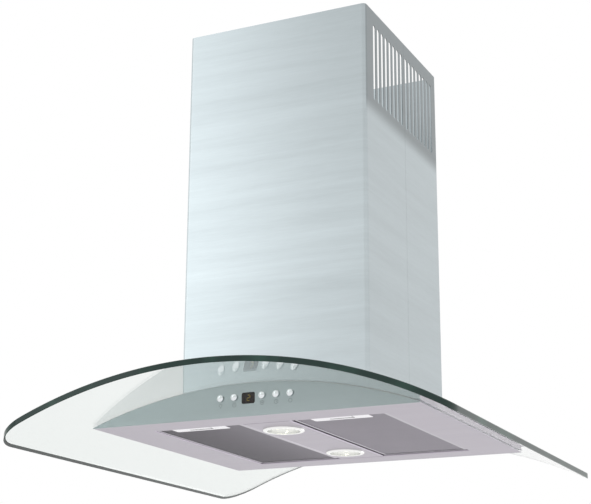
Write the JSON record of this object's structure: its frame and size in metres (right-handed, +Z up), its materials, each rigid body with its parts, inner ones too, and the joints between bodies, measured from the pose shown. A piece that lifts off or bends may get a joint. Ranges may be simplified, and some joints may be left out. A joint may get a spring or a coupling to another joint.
{
  "type": "range hood",
  "caption": "Island range hood: arched steel body under a curved clear glass sheet, square slotted chimney, grease filters, lamps and push-button control panel.",
  "frame": {"origin": "centre of the four hanger bolt holes on the hanger ring's top face, inside the chimney", "axes": "+X to the right seen from the control panel, +Y to the back, +Z up; the control panel faces -Y"},
  "size_m": [0.794, 0.864, 0.7928],
  "materials": {
    "underside_steel": "brushed across",
    "panel_steel": "brushed across",
    "galvanised": "galvanised sheet",
    "clear_glass": "clear float glass, polished edge",
    "rubber_pad": "translucent silicone",
    "zinc_steel": "zinc plated",
    "grey_plastic": "moulded",
    "black_plastic": "moulded",
    "chimney_steel": "brushed across",
    "board_green": "circuit board",
    "display_tint": "smoked brown",
    "button_chrome": "polished",
    "lamp_chrome": "polished",
    "lamp_glass": "clear",
    "lamp_capsule": "lit capsule",
    "filter_aluminium": "anodised",
    "filter_mesh": "expanded mesh",
    "bright_plate": "polished",
    "spring_steel": "spring leaf"
  },
  "bodies": {
    "hood": {"underside_panel": "underside_steel", "front_panel": "panel_steel", "rear_panel": "panel_steel", "top_deck": "galvanised", "lamp_strip": "underside_steel", "glass_canopy": "clear_glass", "glass_seals": "rubber_pad", "glass_washers": "rubber_pad", "glass_bolts": "zinc_steel", "glass_nuts": "zinc_steel", "blower_saddle": "galvanised", "blower_box": "galvanised", "fan_scroll": "grey_plastic", "inlet_rings": "grey_plastic", "fan_motor": "galvanised", "motor_bracket": "zinc_steel", "outlet_collar": "black_plastic", "flap_pins": "zinc_steel", "hanger_ring": "galvanised", "hanger_angles": "galvanised", "frame_screws": "zinc_steel", "terminal_box": "black_plastic", "chimney_front": "chimney_steel", "chimney_rear": "chimney_steel", "chimney_clips": "galvanised", "control_housing": "grey_plastic", "control_board": "board_green", "switches": "black_plastic", "display_module": "black_plastic", "display_window": "display_tint", "lamp_ring_front": "lamp_chrome", "lamp_lens_front": "lamp_glass", "lamp_reflector_front": "lamp_chrome", "lamp_bulb_front": "lamp_capsule", "lamp_ring_rear": "lamp_chrome", "lamp_lens_rear": "lamp_glass", "lamp_reflector_rear": "lamp_chrome", "lamp_bulb_rear": "lamp_capsule"},
    "wheel": {"impeller": "black_plastic", "fan_shaft": "zinc_steel"},
    "flap_front": {"flap_front": "grey_plastic"},
    "flap_rear": {"flap_rear": "grey_plastic"},
    "filter_left": {"filter_frame_left": "filter_aluminium", "filter_mesh_left": "filter_mesh", "latch_plate_left": "bright_plate", "latch_spring_left": "spring_steel"},
    "latch_left": {"latch_slider_left": "bright_plate"},
    "filter_right": {"filter_frame_right": "filter_aluminium", "filter_mesh_right": "filter_mesh", "latch_plate_right": "bright_plate", "latch_spring_right": "spring_steel"},
    "latch_right": {"latch_slider_right": "bright_plate"},
    "button_1": {"button_1": "button_chrome"},
    "button_2": {"button_2": "button_chrome"},
    "button_3": {"button_3": "button_chrome"},
    "button_4": {"button_4": "button_chrome"},
    "button_5": {"button_5": "button_chrome"}
  },
  "joints": [
    {"name": "wheel_spin", "type": "hinge", "parent": "hood", "child": "wheel", "pos_m": [0, -0.058, -0.345], "axis": [1, 0, 0], "continuous": true},
    {"name": "flap_front_swing", "type": "hinge", "parent": "hood", "child": "flap_front", "pos_m": [0, -0.0034, -0.1395], "axis": [-1, 0, 0], "range_deg": [0, 80]},
    {"name": "flap_rear_swing", "type": "hinge", "parent": "hood", "child": "flap_rear", "pos_m": [0, 0.0034, -0.1395], "axis": [1, 0, 0], "range_deg": [0, 80]},
    {"name": "filter_left_drop", "type": "hinge", "parent": "hood", "child": "filter_left", "pos_m": [-0.1323, 0.203, -0.556], "axis": [1, 0, 0], "range_deg": [0, 80]},
    {"name": "latch_left_pull", "type": "slide", "parent": "filter_left", "child": "latch_left", "axis": [0, 1, 0], "range_m": [0, 0.006], "stiffness_N_per_m": 300, "springref_m": -0.002, "deforming": ["latch_spring_left"]},
    {"name": "filter_right_drop", "type": "hinge", "parent": "hood", "child": "filter_right", "pos_m": [0.1323, 0.203, -0.556], "axis": [1, 0, 0], "range_deg": [0, 80]},
    {"name": "latch_right_pull", "type": "slide", "parent": "filter_right", "child": "latch_right", "axis": [0, 1, 0], "range_m": [0, 0.006], "stiffness_N_per_m": 300, "springref_m": -0.002, "deforming": ["latch_spring_right"]},
    {"name": "button_1_push", "type": "slide", "parent": "hood", "child": "button_1", "axis": [0, 1, 0], "range_m": [0, 0.0015], "stiffness_N_per_m": 600, "springref_m": -0.0005},
    {"name": "button_2_push", "type": "slide", "parent": "hood", "child": "button_2", "axis": [0, 1, 0], "range_m": [0, 0.0015], "stiffness_N_per_m": 600, "springref_m": -0.0005},
    {"name": "button_3_push", "type": "slide", "parent": "hood", "child": "button_3", "axis": [0, 1, 0], "range_m": [0, 0.0015], "stiffness_N_per_m": 600, "springref_m": -0.0005},
    {"name": "button_4_push", "type": "slide", "parent": "hood", "child": "button_4", "axis": [0, 1, 0], "range_m": [0, 0.0015], "stiffness_N_per_m": 600, "springref_m": -0.0005},
    {"name": "button_5_push", "type": "slide", "parent": "hood", "child": "button_5", "axis": [0, 1, 0], "range_m": [0, 0.0015], "stiffness_N_per_m": 600, "springref_m": -0.0005}
  ]
}
